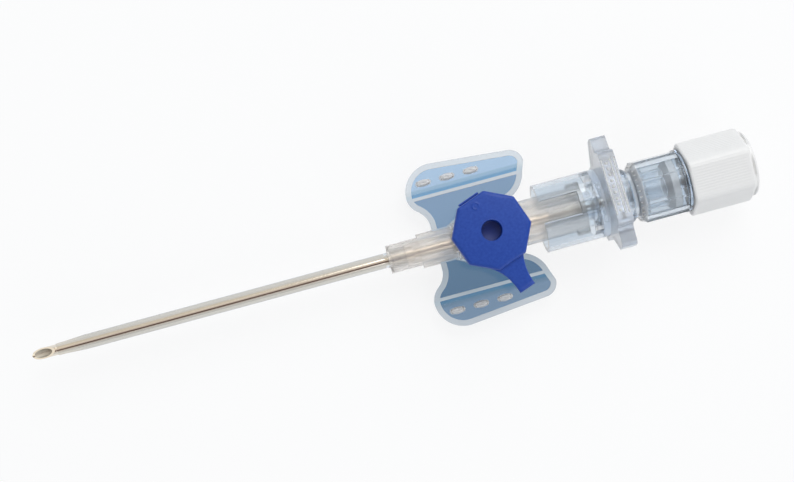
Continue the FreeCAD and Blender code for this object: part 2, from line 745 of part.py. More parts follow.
def make_chamber_luer_end():
    """Rear end of the chamber: spigot, flange and a lugged luer socket for the stopper."""
    spigot = rod(CHAMBER_REAR - SPIGOT_LENGTH, CHAMBER_REAR, CHAMBER_BORE - 2 * PRESS_GAP)
    flange = rod(CHAMBER_REAR, FLANGE_REAR, FLANGE_DIAMETER)
    tube = rod(FLANGE_REAR, END_MOUTH, END_TUBE_DIAMETER)
    body = spigot.fuse([flange, tube, lugs(END_MOUTH, END_TUBE_DIAMETER)])
    passage = rod(CHAMBER_REAR - SPIGOT_LENGTH - CUT_EXTRA, END_MOUTH, END_PASSAGE)
    return body.cut([passage, luer_socket(END_MOUTH, END_SOCKET_DEPTH)]).removeSplitter()


def make_luer_stopper():
    """White six-sided stopper: locking collar with a closed luer cone inside."""
    shoulder = STOPPER_REAR - STOPPER_CORE_STEP
    body = prism_along_x(STOPPER_SIDES, STOPPER_RADIUS, STOPPER_FRONT, shoulder)
    body = body.makeFillet(STOPPER_CORNER, edges_along_x(body))
    rear_edges = [e for e in body.Edges if all(v.X > shoulder - 1e-6 for v in e.Vertexes)]
    body = body.makeChamfer(STOPPER_CHAMFER, rear_edges)
    core = rod(shoulder - CUT_EXTRA, STOPPER_REAR, STOPPER_CORE_DIAMETER)
    floor_x = STOPPER_REAR - STOPPER_FLOOR
    body = body.fuse(core)
    body = body.cut(rod(STOPPER_FRONT - CUT_EXTRA, floor_x, STOPPER_BORE))
    cone = luer_plug(END_MOUTH, floor_x - STOPPER_CONE, floor_x + PRESS_GAP)
    return leaned(body.fuse(cone).removeSplitter(), STOPPER_TURN)


PIECES = {
    "needle": make_needle,
    "catheter_tube": make_catheter_tube,
    "catheter_ferrule": make_ferrule,
    "catheter_hub": make_catheter_hub,
    "port_valve": make_port_valve,
    "port_cap": make_port_cap,
    "port_cap_ring": make_port_cap_ring,
    "needle_hub": make_needle_hub,
    "flash_chamber": make_flash_chamber,
    "vent_filter": make_vent_filter,
    "chamber_luer_end": make_chamber_luer_end,
    "luer_stopper": make_luer_stopper,
}

for name, make_piece in PIECES.items():
    shape = make_piece()
    if shape.ShapeType != "Solid" and len(shape.Solids) == 1:
        shape = shape.Solids[0]
    shape.exportStep(f"parts/{name}.step")
    box = shape.BoundBox
    print(
        f"{name}: {len(shape.Solids)} solid, valid {shape.isValid()}, {shape.Volume:.2f} mm3, "
        f"x {box.XMin:.2f} to {box.XMax:.2f}, z {box.ZMin:.2f} to {box.ZMax:.2f}"
    )
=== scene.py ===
# %% [markdown]
# # A winged cannula with its needle, dressed for a product picture
#
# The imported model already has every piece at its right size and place. This lesson gives
# the pieces their finishes, and swaps in finer surfaces where moulded plastic has soft
# edges that the plain solids lack. Sizes below are in millimetres, as a maker reads them,
# and times MM they are the metres that Blender works in.

# %% Load the model
import math

import bpy
import numpy as np
from mathutils import Matrix, Vector


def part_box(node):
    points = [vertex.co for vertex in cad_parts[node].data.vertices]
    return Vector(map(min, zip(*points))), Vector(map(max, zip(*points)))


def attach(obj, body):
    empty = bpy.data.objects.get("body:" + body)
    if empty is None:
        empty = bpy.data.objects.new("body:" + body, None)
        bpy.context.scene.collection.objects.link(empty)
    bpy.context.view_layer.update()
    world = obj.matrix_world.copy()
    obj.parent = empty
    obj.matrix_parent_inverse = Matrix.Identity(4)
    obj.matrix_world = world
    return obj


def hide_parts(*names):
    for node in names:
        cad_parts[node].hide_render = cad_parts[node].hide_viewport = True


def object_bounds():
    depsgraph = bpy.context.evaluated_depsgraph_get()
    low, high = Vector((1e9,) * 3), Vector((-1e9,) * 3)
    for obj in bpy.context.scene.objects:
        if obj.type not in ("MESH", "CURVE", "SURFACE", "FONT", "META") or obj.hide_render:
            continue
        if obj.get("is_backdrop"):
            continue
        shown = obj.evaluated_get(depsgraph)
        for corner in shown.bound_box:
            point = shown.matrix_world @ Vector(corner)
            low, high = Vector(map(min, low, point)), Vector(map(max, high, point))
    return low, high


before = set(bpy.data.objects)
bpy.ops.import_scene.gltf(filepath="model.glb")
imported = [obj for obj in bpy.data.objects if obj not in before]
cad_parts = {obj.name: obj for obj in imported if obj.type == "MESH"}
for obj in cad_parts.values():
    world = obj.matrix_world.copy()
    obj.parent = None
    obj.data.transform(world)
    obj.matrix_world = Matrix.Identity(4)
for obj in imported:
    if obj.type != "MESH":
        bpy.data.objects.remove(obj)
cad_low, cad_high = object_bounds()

print("nodes:", sorted(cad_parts))
print("box, mm:", [round(1000 * (b - a), 2) for a, b in zip(cad_low, cad_high)])

# %% [markdown]
# ## Colours and nodes
#
# A colour is easiest to judge as the hex value that a picture shows, but shaders add and
# multiply light, so they need linear values. One function does the change. One more
# function adds a shader node, sets its inputs and wires it, which keeps every material
# below as short as a recipe.

# %% Colour and node helpers
MM = 0.001
RGBA = {"data_type": "RGBA"}


def linear(hex_colour):
    """sRGB hex to linear RGBA: c/12.92 below 0.04045, else ((c + 0.055)/1.055)^2.4."""
    channels = [int(hex_colour[i : i + 2], 16) / 255 for i in (1, 3, 5)]
    return tuple(
        c / 12.92 if c <= 0.04045 else ((c + 0.055) / 1.055) ** 2.4 for c in channels
    ) + (1.0,)


def add(tree, kind, settings=None, stops=(), **inputs):
    """Add a node with its settings, colour stops and inputs, and return it.

    An input takes a value, or an output socket to wire in. Its name has _ for a space, and
    n0, n1 and so on stand for inputs that share one name.
    """
    node = tree.nodes.new("ShaderNode" + kind)
    for key, value in (settings or {}).items():
        setattr(node, key, value)
    for i, (position, colour) in enumerate(stops):
        band = node.color_ramp.elements
        stop = band[i] if i < 2 else band.new(position)
        stop.position, stop.color = position, linear(colour)
    for key, value in inputs.items():
        number = int(key[1:]) if key[0] == "n" and key[1:].isdigit() else None
        socket = node.inputs[number] if number is not None else node.inputs[key.replace("_", " ")]
        if isinstance(value, bpy.types.NodeSocket):
            tree.links.new(value, socket)
        else:
            socket.default_value = value
    return node


def material(name, **principled):
    """A material whose one Principled shader takes the given values on its own sockets."""
    made = bpy.data.materials.new(name)
    made.use_nodes = True
    tree = made.node_tree
    tree.nodes.clear()
    shader = add(tree, "BsdfPrincipled", **principled)
    add(tree, "OutputMaterial", Surface=shader.outputs[0])
    return made, tree, shader


print("white paper in linear light:", [round(c, 3) for c in linear("#F4F5F6")])

# %% [markdown]
# ## Grain
#
# Nothing moulded or drawn is perfectly smooth. A shallow noise, a few thousandths of a
# millimetre from peak to peak, breaks up the highlights as on the real surface. The
# pattern reads Object coordinates, which are metres here, so a grain of a given size in
# millimetres needs a scale of 1000 over that size. Real grain is finer than a pixel of the
# picture, so each grain below is drawn as coarse as it needs to be to show. The bevel normal
# rounds the sharp edges of the plain solids by a real mould's edge radius.


# %% Grain helper
def grain(tree, shader, size_mm, depth_mm, stretch=(1, 1, 1), edge_mm=0.0):
    """Noise bump of a real size and depth, over edges that look rounded by edge_mm."""
    place = add(tree, "TexCoord").outputs["Object"]
    scaled = add(tree, "Mapping", Vector=place, Scale=stretch).outputs[0]
    noise = add(tree, "TexNoise", Vector=scaled, Scale=1 / (size_mm * MM), Detail=3.0)
    bump = add(tree, "Bump", Height=noise.outputs[0], Distance=depth_mm * MM, Strength=1.0)
    if edge_mm:
        edge = add(tree, "Bevel", {"samples": 6}, Radius=edge_mm * MM)
        tree.links.new(edge.outputs[0], bump.inputs["Normal"])
    tree.links.new(bump.outputs[0], shader.inputs["Normal"])
    return noise.outputs[0]


print("a grain of 0.3 mm needs a noise scale of", round(1 / (0.3 * MM)))

# %% [markdown]
# ## Stainless steel
#
# The needle is drawn tube: it is pulled through a die, which leaves fine lines along its
# length. Lines are a noise squeezed along X and stretched across it. The ramp lets the
# colour wander a little with the lines, as drawn steel does, and a low roughness mirrors
# the room as long stripes. The die never polishes the inside of the tube, so wherever a
# point is nearer to the axis than the bore's radius, the steel is duller, and its colour is
# also painted darker, as painted shade inside the bore. The face ground at the point is
# painted nearly white, a painted highlight: it is the only steel that lies between the two
# radii.

# %% Steel
COMPARE = {"operation": "COMPARE"}
NEEDLE_R, BORE_R = 0.8, 0.6
steel, tree, shader = material("stainless_steel_drawn", Metallic=1.0)
lines = grain(tree, shader, 0.12, 0.0015, stretch=(0.01, 1, 1))
colour = add(tree, "ValToRGB", stops=[(0.3, "#E2DACE"), (0.7, "#EBE4D9")], Fac=lines)
place = add(tree, "TexCoord").outputs["Object"]
across_axis = (0.0, 1.0, 1.0)
off_axis = add(tree, "VectorMath", {"operation": "MULTIPLY"}, n0=place, n1=across_axis).outputs[0]
reach = add(tree, "VectorMath", {"operation": "LENGTH"}, n0=off_axis).outputs["Value"]
EDGE_ROOM = 0.01
BORE_EDGE = (BORE_R + EDGE_ROOM) * MM
WALL_MIDDLE = (NEEDLE_R + BORE_R) / 2 * MM
WALL_REACH = ((NEEDLE_R - BORE_R) / 2 - EDGE_ROOM) * MM
inside = add(tree, "Math", {"operation": "LESS_THAN"}, n0=reach, n1=BORE_EDGE).outputs[0]
ground = add(tree, "Math", COMPARE, n0=reach, n1=WALL_MIDDLE, n2=WALL_REACH)
dull = add(tree, "MapRange", Value=inside, To_Min=0.14, To_Max=0.6)
# Painted shade: the inside of the bore is painted darker.
tint = add(tree, "Mix", RGBA, n0=inside, n6=colour.outputs[0], n7=linear("#C9C6BD"))
# Painted highlight: the ground face is painted nearly white.
tint = add(tree, "Mix", RGBA, n0=ground.outputs[0], n6=tint.outputs[2], n7=linear("#FDFDF4"))
tree.links.new(dull.outputs[0], shader.inputs["Roughness"])
tree.links.new(tint.outputs[2], shader.inputs["Base Color"])
print("steel:", steel.name)

# %% [markdown]
# ## Clear plastics
#
# The tube is a fluoropolymer, extruded and glossy, with a low IOR. It bends the light so
# that the needle inside looks almost as thick as the tube. Clear plastic is faintly blue,
# which shows only where the eye looks along a wall, so the blue is an absorption inside the
# plastic and not a surface colour. The tube's wall is thin and needs a strong absorption.

# %% Tube plastic
WALL_BLUE = "#7FB2DE"
tube_plastic, tree, shader = material(
    "fluoropolymer_extruded",
    Base_Color=linear("#F9F9F8"),
    Roughness=0.05,
    IOR=1.35,
    Transmission_Weight=1.0,
)
grain(tree, shader, 0.8, 0.002, stretch=(0.1, 1, 1))
blue = add(tree, "VolumeAbsorption", Color=linear(WALL_BLUE), Density=260.0)
tree.links.new(blue.outputs[0], tree.nodes["Material Output"].inputs["Volume"])
print("tube plastic:", tube_plastic.name)

# %% [markdown]
# The needle hub and the chamber are moulded acrylic, clear as glass. Where the moulding is
# thick and textured for the fingers, at the grip plate, it turns milky: less light goes
# straight through, and the surface is rougher. The chamber's front edge, which is toothed,
# is milky too. Both places are bands along X, so two comparisons pick them out.

# %% Clear plastic
MAXIMUM = {"operation": "MAXIMUM"}
PLATE_X, PLATE_REACH = 33.1, 1.15
RIM_X, RIM_REACH = 37.0, 0.75
clear_plastic, tree, shader = material("acrylic_moulded_clear", IOR=1.49)
grain(tree, shader, 1.6, 0.002, edge_mm=0.06)
blue = add(tree, "VolumeAbsorption", Color=linear(WALL_BLUE), Density=50.0)
tree.links.new(blue.outputs[0], tree.nodes["Material Output"].inputs["Volume"])
place = add(tree, "TexCoord").outputs["Object"]
along = add(tree, "SeparateXYZ", Vector=place).outputs["X"]
plate = add(tree, "Math", COMPARE, n0=along, n1=PLATE_X * MM, n2=PLATE_REACH * MM)
rim = add(tree, "Math", COMPARE, n0=along, n1=RIM_X * MM, n2=RIM_REACH * MM)
milky = add(tree, "Math", MAXIMUM, n0=plate.outputs[0], n1=rim.outputs[0])
clarity = add(tree, "MapRange", Value=milky.outputs[0], To_Min=0.93, To_Max=0.72)
frost = add(tree, "MapRange", Value=milky.outputs[0], To_Min=0.06, To_Max=0.2)
CLEAR, MILKY = linear("#E9F0F6"), linear("#F9FAFB")
tint = add(tree, "Mix", RGBA, n0=milky.outputs[0], n6=CLEAR, n7=MILKY)
tree.links.new(clarity.outputs[0], shader.inputs["Transmission Weight"])
tree.links.new(frost.outputs[0], shader.inputs["Roughness"])
tree.links.new(tint.outputs[2], shader.inputs["Base Color"])
print("clear plastic:", clear_plastic.name, "milky at x", PLATE_X, "and", RIM_X)

# %% [markdown]
# ## Milky plastic
#
# The catheter hub is polypropylene. Its crystals scatter light, so it is milky where it is
# thick and nearly clear in the thin film of the wings. Scattering is slow to trace, so the
# milkiness is a share of plain white surface: the rims and ridges above the film keep the
# largest share, the smooth body above them a smaller one, and the film almost none. The
# film is blue, and shade is painted into that blue: it is painted deepest in the groove
# beside the fold's ridge, where the ridge's flank lies in shade, and the lower wing is
# painted darker than the upper one, as painted shade. Those zones are bands along the
# wings, so one ramp over Y, from wing tip to wing tip, holds them.

# %% Milky plastic
FILM_TOP, WING_TIP = -3.4, 12.4
# Blue film with painted shade: the lower wing, at negative Y, is painted darker, and the groove
# beside each ridge is painted the deepest blue.
FILM_TINT_AND_SHADE_BANDS = [
    (-9.1, "#7C98B4"),
    (-8.9, "#7391AC"),
    (-8.5, "#6D8DA9"),
    (-8.35, "#5C89AC"),
    (-7.9, "#5C89AC"),
    (-7.8, "#5E80A0"),
    (-2.0, "#6183A2"),
    (2.0, "#86A4C2"),
    (7.8, "#8CA9C8"),
    (7.9, "#7AAAD2"),
    (8.35, "#7EABD0"),
    (8.5, "#9CBEDA"),
    (8.9, "#A4C3DC"),
    (9.1, "#B4D0EC"),
]
hub_plastic, tree, shader = material("polypropylene_moulded_milky", IOR=1.49)
grain(tree, shader, 0.5, 0.0015, edge_mm=0.1)
place = add(tree, "TexCoord").outputs["Object"]
parts = add(tree, "SeparateXYZ", Vector=place)
up, across = parts.outputs["Z"], parts.outputs["Y"]
rise = {"From_Min": FILM_TOP * MM, "From_Max": (FILM_TOP + 0.3) * MM}
above = {"From_Min": (FILM_TOP + 0.6) * MM, "From_Max": (FILM_TOP + 1.4) * MM}
span = {"From_Min": -WING_TIP * MM, "From_Max": WING_TIP * MM}
thick = add(tree, "MapRange", Value=up, **rise).outputs[0]
clarity = add(tree, "MapRange", Value=thick, To_Min=0.96, To_Max=0.64)
body = add(tree, "MapRange", Value=up, To_Max=0.12, **above)
clarity = add(tree, "Math", {"operation": "ADD"}, n0=clarity.outputs[0], n1=body.outputs[0])
frost = add(tree, "MapRange", Value=thick, To_Min=0.1, To_Max=0.16)
tip_to_tip = add(tree, "MapRange", Value=across, **span).outputs[0]
bands = [((y + WING_TIP) / (2 * WING_TIP), colour) for y, colour in FILM_TINT_AND_SHADE_BANDS]
film = add(tree, "ValToRGB", stops=bands, Fac=tip_to_tip).outputs[0]
tint = add(tree, "Mix", RGBA, n0=thick, n6=film, n7=linear("#F9F6F2"))
tree.links.new(clarity.outputs[0], shader.inputs["Transmission Weight"])
tree.links.new(frost.outputs[0], shader.inputs["Roughness"])
tree.links.new(tint.outputs[2], shader.inputs["Base Color"])
print("milky plastic:", hub_plastic.name, "with film up to z", FILM_TOP)

# %% [markdown]
# ## Coloured and white plastics
#
# The cap is moulded polyethylene, a waxy plastic: light goes in a little way and comes out
# softened, and the gloss is low. A small subsurface weight gives that wax. The colour
# wanders a little with the grain, as pigment does. The cap's well is sunk, and shade is
# painted into it: within a set distance of the well's middle the colour is painted nearly
# navy, as painted shade.

# %% Blue cap plastic
PORT_X = 15.0
WELL_MIDDLE, WELL_SHADE_REACH = (PORT_X, 0.0, 6.6), 1.75
cap_plastic, tree, shader = material(
    "polyethylene_moulded_blue",
    Roughness=0.42,
    IOR=1.5,
    Specular_IOR_Level=0.3,
    Subsurface_Weight=0.12,
    Subsurface_Radius=(0.4, 0.6, 1.0),
    Subsurface_Scale=0.5 * MM,
)
clouds = grain(tree, shader, 0.35, 0.006)
colour = add(tree, "ValToRGB", stops=[(0.3, "#1D429A"), (0.7, "#264BA5")], Fac=clouds)
place = add(tree, "TexCoord").outputs["Object"]
# Painted shade: near the well's middle the blue is painted nearly navy.
depth = add(
    tree,
    "VectorMath",
    {"operation": "DISTANCE"},
    n0=place,
    n1=Vector(WELL_MIDDLE) * MM,
).outputs["Value"]
fall = {"From_Min": WELL_SHADE_REACH * MM, "From_Max": 0.8 * WELL_SHADE_REACH * MM}
well_painted_shade = add(tree, "MapRange", Value=depth, **fall)
tint = add(tree, "Mix", RGBA, n0=well_painted_shade.outputs[0], n6=colour.outputs[0], n7=linear("#12307E"))
tree.links.new(tint.outputs[2], shader.inputs["Base Color"])
print("blue plastic:", cap_plastic.name)

# %% [markdown]
# The stopper is the same kind of plastic with white pigment. White lets light wander further
# inside before it comes out, so its subsurface weight is larger and even in all colours.

# %% White stopper plastic
stopper_plastic, tree, shader = material(
    "polyethylene_moulded_white",
    Base_Color=linear("#EAE9E7"),
    Roughness=0.38,
    IOR=1.5,
    Subsurface_Weight=0.25,
    Subsurface_Radius=(1.0, 1.0, 1.0),
    Subsurface_Scale=0.8 * MM,
)
grain(tree, shader, 0.6, 0.005)
print("white plastic:", stopper_plastic.name)

# %% [markdown]
# The filter is pressed fibre, which is matt and white and has the deepest grain here. The
# valve is silicone rubber, soft and cloudy, which lets half of the light through.

# %% Filter fibre and valve rubber
fibre, tree, shader = material(
    "fibre_pressed_white",
    Base_Color=linear("#FAFBFC"),
    Roughness=0.9,
)
grain(tree, shader, 0.15, 0.05)
rubber, tree, shader = material(
    "silicone_rubber_translucent",
    Base_Color=linear("#E9E6E2"),
    Roughness=0.4,
    IOR=1.41,
    Transmission_Weight=0.5,
)
grain(tree, shader, 0.3, 0.01)
print("fibre and rubber:", fibre.name, rubber.name)

# %% [markdown]
# ## Finishes for the modelled pieces
#
# Most pieces of the real cannula are plain mouldings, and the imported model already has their
# shape. Such a node keeps its mesh and only takes a material. The few nodes that are drawn
# finer further down get the same material here, so that both versions agree.

# %% Give every node its finish
FINISH = {
    "needle": steel,
    "catheter_ferrule": steel,
    "catheter_tube": tube_plastic,
    "catheter_hub": hub_plastic,
    "port_valve": rubber,
    "port_cap": cap_plastic,
    "port_cap_ring": cap_plastic,
    "needle_hub": clear_plastic,
    "flash_chamber": clear_plastic,
    "chamber_luer_end": clear_plastic,
    "vent_filter": fibre,
    "luer_stopper": stopper_plastic,
}
for node, finish in FINISH.items():
    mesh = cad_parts[node].data
    mesh.materials.clear()
    mesh.materials.append(finish)
print("finished nodes:", len(FINISH))

# %% [markdown]
# ## Surfaces from grids
#
# Every new piece is a grid of points: one way along the grid follows a profile, the other
# way goes round it. Where a profile starts and ends on the axis, the whole ring of points
# falls on one spot, and merging those points closes the pole.


# %% Mesh helpers
import bmesh


def grid_faces(rows, columns):
    """Quads of a grid whose columns wrap round: corner k joins (i, j) to its neighbours."""
    i, j = np.meshgrid(np.arange(rows - 1), np.arange(columns), indexing="ij")
    here, below, after = i * columns, (i + 1) * columns, (j + 1) % columns
    return np.stack([here + j, below + j, below + after, here + after], axis=-1).reshape(-1, 4)


def piece(name, grids, finish, body, replaces=(), sharp=40):
    """Object from grids of points in millimetres, merged, closed and shaded smooth."""
    points, faces, count = [], [], 0
    for grid in grids:
        rows, columns = grid.shape[:2]
        points.append(grid.reshape(-1, 3))
        faces.append(grid_faces(rows, columns) + count)
        count += rows * columns
    mesh = bpy.data.meshes.new(name)
    mesh.from_pydata((np.concatenate(points) * MM).tolist(), [], np.concatenate(faces).tolist())
    shell = bmesh.new()
    shell.from_mesh(mesh)
    bmesh.ops.remove_doubles(shell, verts=shell.verts, dist=1e-3 * MM)
    bmesh.ops.recalc_face_normals(shell, faces=shell.faces)
    shell.to_mesh(mesh)
    shell.free()
    mesh.shade_smooth()
    mesh.set_sharp_from_angle(angle=math.radians(sharp))
    mesh.materials.append(finish)
    made = bpy.data.objects.new(name, mesh)
    bpy.context.scene.collection.objects.link(made)
    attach(made, body)
    if replaces:
        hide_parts(*replaces)
    print(name, "faces:", len(mesh.polygons))


def polygon_radius(angle, sides, apothem, corner):
    """Distance from the centre to a regular polygon with rounded corners.

    Flats lie at apothem / cos(a), with a the angle from the nearest flat's middle. Past the
    flat's end the point lies on the corner's circle, by the cosine rule.
    """
    half = math.pi / sides
    away = np.abs((angle + half) % (2 * half) - half)
    flat = apothem / np.cos(away)
    centre = (apothem - corner) / math.cos(half)
    beta = half - away
    reach = np.sqrt(np.maximum(corner**2 - (centre * np.sin(beta)) ** 2, 0))
    on_corner = centre * np.cos(beta) + reach
    return np.where(apothem * np.tan(away) > (apothem - corner) * math.tan(half), on_corner, flat)


def turned(points, degrees):
    """Turn points about X, the top towards +Y: y cos a + z sin a, z cos a - y sin a."""
    a = math.radians(degrees)
    x, y, z = points[..., 0], points[..., 1], points[..., 2]
    return np.stack([x, y * math.cos(a) + z * math.sin(a), z * math.cos(a) - y * math.sin(a)], -1)


def ring_about_x(x, radius, angle):
    """One ring of points about X, where x and radius are numbers or one value per angle."""
    return np.stack([x + 0 * angle, radius * np.sin(angle), radius * np.cos(angle)], -1)


octagon = polygon_radius(np.array([math.pi / 8, 0]), 8, 5.25, 0.5)
print("octagon, corner and flat:", np.round(octagon, 3))

# %% [markdown]
# ## The needle
#
# A needle is a thin steel tube, ground slanting so that its mouth is a long ellipse, with
# two more grinds at the sides that turn the front of the ellipse into a point. The packed
# needle has few faces round it, and bright steel shows each of them, so this one is a fine
# grid: every line along the tube starts at the further back of two planes, and where the
# planes cross the step from one to the other is softened.

# %% Needle tube
low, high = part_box("needle")
TIP, NEEDLE_REAR = low.x / MM, high.x / MM
BEVEL, SIDE_GRIND = 3.95, 0.6
around = np.linspace(0, 2 * math.pi, 96, endpoint=False)


def bevel_x(radius):
    """Front end of each line: L (1 + z/R)/2 for the long grind, S |y|/R for the side ones.

    The eighth root of the summed eighth powers is the larger of the two, with a soft corner.
    """
    long_grind = BEVEL * (1 + radius * np.cos(around) / NEEDLE_R) / 2
    side_grind = SIDE_GRIND * np.abs(np.sin(around)) * radius / NEEDLE_R
    return TIP + (long_grind**8 + side_grind**8) ** 0.125


BEHIND_BEVEL = TIP + BEVEL + 0.5
stations = [
    (NEEDLE_REAR, BORE_R),
    (BEHIND_BEVEL, BORE_R),
    (bevel_x(BORE_R), BORE_R),
    (bevel_x(NEEDLE_R), NEEDLE_R),
    (BEHIND_BEVEL, NEEDLE_R),
    (NEEDLE_REAR, NEEDLE_R),
    (NEEDLE_REAR, BORE_R),
]
rows = [ring_about_x(x, radius, around) for x, radius in stations]
piece("needle_tube", [np.stack(rows)], steel, "needle_unit", ["needle"], sharp=20)

# %% [markdown]
# ## The catheter tube
#
# The tube is drawn so tightly onto the needle that no air is left between them, and then it
# magnifies the needle to its own full width. Two surfaces with a gap don't do that. So the
# tube's bore is five thousandths of a millimetre smaller than the needle, and a ray in
# the plastic meets the steel first. The tip is drawn down to the needle in a soft curve, and
# the rear end is flared over the sleeve that holds it in the hub.

# %% Catheter tube
low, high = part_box("catheter_tube")
MOUTH_X, GRIP_END = low.x / MM, high.x / MM
TUBE_R, MOUTH_R, TAPER, TIP_ROUND = 1.1, 0.9, 5.0, 0.06
FLARE_START, FLARE_END, FLARED_R, FLARED_BORE = -0.12, 0.38, 1.4, 1.15
TIGHT_FROM, TIGHT_BORE, EASED_BORE = -0.6, NEEDLE_R - 0.005, 0.85
share = np.linspace(0, 1, 16)
ease = share * share * (3 - 2 * share)
tip_round = np.linspace(0, math.pi / 2, 5)
tube = [(GRIP_END, FLARED_BORE), (FLARE_END, FLARED_BORE), (FLARE_START, EASED_BORE)]
tube += [(TIGHT_FROM, TIGHT_BORE), (MOUTH_X, TIGHT_BORE)]
tube += [
    (MOUTH_X + TIP_ROUND * (1 - math.cos(a)), MOUTH_R - TIP_ROUND * (1 - math.sin(a)))
    for a in tip_round
]
tube += [
    (MOUTH_X + TIP_ROUND + (TAPER - TIP_ROUND) * s, MOUTH_R + (TUBE_R - MOUTH_R) * e)
    for s, e in zip(share[1:], ease[1:])
]
tube += [(FLARE_START, TUBE_R), (FLARE_END, FLARED_R)]
tube += [(GRIP_END, FLARED_R), (GRIP_END, FLARED_BORE)]
drawn = np.stack([ring_about_x(x, radius, around) for x, radius in tube])
piece("tube_drawn", [drawn], tube_plastic, "cannula", ["catheter_tube"], sharp=30)

# %% [markdown]
# ## The port cap
#
# The real cap is an eight-sided button with a slightly domed top, soft edges, a round well
# in its middle and a thumb tab at one corner. A bevelled prism would have a flat top, so a
# profile is swept round an eight-sided path: it starts under the plug, goes out under the
# skirt, up the side, over the soft edge, across the dome and down the well. Between the edge
# and the well the path turns from an octagon into a circle in equal steps.

# %% Port cap
low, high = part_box("port_cap")
CAP_LOW, CAP_TOP = low.z / MM, high.z / MM
CAP_FLAT, CAP_CORNER, EDGE, DOME = 5.25, 0.45, 0.45, 0.22
PLUG_R, PLUG_LOW, SKIRT_R, SKIRT_TOP, FOOT = 1.9, CAP_LOW + 0.4, 3.85, 7.4, 0.15
cap_angles = np.linspace(0, 2 * math.pi, 320, endpoint=False)


def cap_ring(height, size, on_octagon):
    """One ring of the cap: a circle of radius size, or the octagon moved in by size."""
    if on_octagon:
        radius = polygon_radius(cap_angles, 8, CAP_FLAT - size, CAP_CORNER)
    else:
        radius = np.full_like(cap_angles, size)
    level = np.full_like(cap_angles, height)
    return np.stack([radius * np.cos(cap_angles), radius * np.sin(cap_angles), level], -1)


# Each row: height, then a circle's radius and 0, or an inset from the octagon and 1
rows = [(PLUG_LOW, 0.0, 0), (PLUG_LOW, PLUG_R, 0), (SKIRT_TOP, PLUG_R, 0)]
rows += [(SKIRT_TOP, SKIRT_R, 0), (CAP_LOW, SKIRT_R, 0)]
rows += [(CAP_LOW, FOOT, 1), (CAP_LOW + FOOT, 0.0, 1)]
rows += [
    (CAP_TOP - DOME - EDGE + EDGE * math.sin(t), EDGE * (1 - math.cos(t)), 1)
    for t in np.linspace(0, math.pi / 2, 9)
]
lower_rings = np.stack([cap_ring(*row) for row in rows])
print("cap rings from the plug to the top's edge:", len(rows))

# %% [markdown]
# The top is a shallow dome that falls with the square of the distance from the middle, and a
# small raised ring lies on it as a mark. At a distance d from the mark's middle the ring adds
# a bell curve, H exp(-((d - R)/W)^2). The whole cap is turned about the port so that its tab
# points the right way, and the mark is placed in the turned cap.

# %% Cap top and well
TAB_TURN = math.radians(-70.5)
WELL, WELL_FLOOR, LIP = 1.46, 6.7, 0.12
MARK, MARK_R, MARK_H, MARK_W = (-1.29, 3.82), 0.46, 0.08, 0.09


def swung(x, y):
    """Turn x and y about the port's axis: x cos a - y sin a, x sin a + y cos a."""
    cosine, sine = math.cos(TAB_TURN), math.sin(TAB_TURN)
    return cosine * x - sine * y, sine * x + cosine * y


rim_radius = np.hypot(lower_rings[-1, :, 0], lower_rings[-1, :, 1])
inward = np.linspace(0, 1, 60)[1:, None]
radius = rim_radius + (WELL + LIP - rim_radius) * inward
share = (radius / CAP_FLAT) ** 2
flat_x, flat_y = radius * np.cos(cap_angles), radius * np.sin(cap_angles)
mark_x, mark_y = swung(flat_x, flat_y)
from_mark = np.hypot(mark_x - MARK[0], mark_y - MARK[1])
raised = MARK_H * np.exp(-(((from_mark - MARK_R) / MARK_W) ** 2))
top = np.stack([flat_x, flat_y, CAP_TOP - DOME * share / share.max() + raised], -1)
well = [
    cap_ring(CAP_TOP - LIP * (1 - math.cos(t)), WELL + LIP * (1 - math.sin(t)), 0)
    for t in np.linspace(0, math.pi / 2, 6)[1:]
]
well += [cap_ring(WELL_FLOOR + 0.05, WELL - 0.05, 0), cap_ring(WELL_FLOOR, WELL - 0.12, 0)]
well += [cap_ring(WELL_FLOOR, 0.0, 0)]
cap_grid = np.concatenate([lower_rings, top, np.stack(well)])
print("cap grid:", cap_grid.shape)

# %% [markdown]
# The tab is a blade that narrows in hollow curves, and flows out of the cap's side more on
# its left than on its right, so each edge has its own curve: w + F (1 - s)^P, with s from 0
# at the cap to 1 at the tab's end. A lip runs across the end for the thumb. The section is
# a rounded rectangle, written as a superellipse: |y/w|^6 + |z/h|^6 = 1.

# %% Thumb tab
TAB_START, TAB_REACH, TAB_DROP, TAB_THICK = 3.9, 9.5, 0.5, 0.95
TAB_LEFT, TAB_RIGHT, TAB_FLARE, FLARE_POWER = -1.57, 0.87, 1.9, 2.6
TOP_SLOPE, LOW_SLOPE = 1.05, 1.0
TAB_LIP, LIP_PLACE, LIP_W = 0.28, 0.97, 0.035
along = np.concatenate([[0.0], np.linspace(0, 1, 40), [1.0]])
size = np.concatenate([[0.0], np.ones(40), [0.0]])
tab_x = TAB_START + (TAB_REACH - TAB_START) * along
flow = TAB_FLARE * (1 - along) ** FLARE_POWER
left_edge, right_edge = TAB_LEFT - flow, TAB_RIGHT + flow
half_width, tab_middle = (right_edge - left_edge) / 2, (right_edge + left_edge) / 2
lip = TAB_LIP * np.exp(-(((along - LIP_PLACE) / LIP_W) ** 2))
tab_top = CAP_TOP - TAB_DROP - TOP_SLOPE * along + lip
tab_bottom = CAP_TOP - TAB_DROP - LOW_SLOPE * along - TAB_THICK
half_height, tab_level = (tab_top - tab_bottom) / 2, (tab_top + tab_bottom) / 2
t = np.linspace(0, 2 * math.pi, 48, endpoint=False)
unit_y = np.sign(np.cos(t)) * np.abs(np.cos(t)) ** (1 / 3)
unit_z = np.sign(np.sin(t)) * np.abs(np.sin(t)) ** (1 / 3)
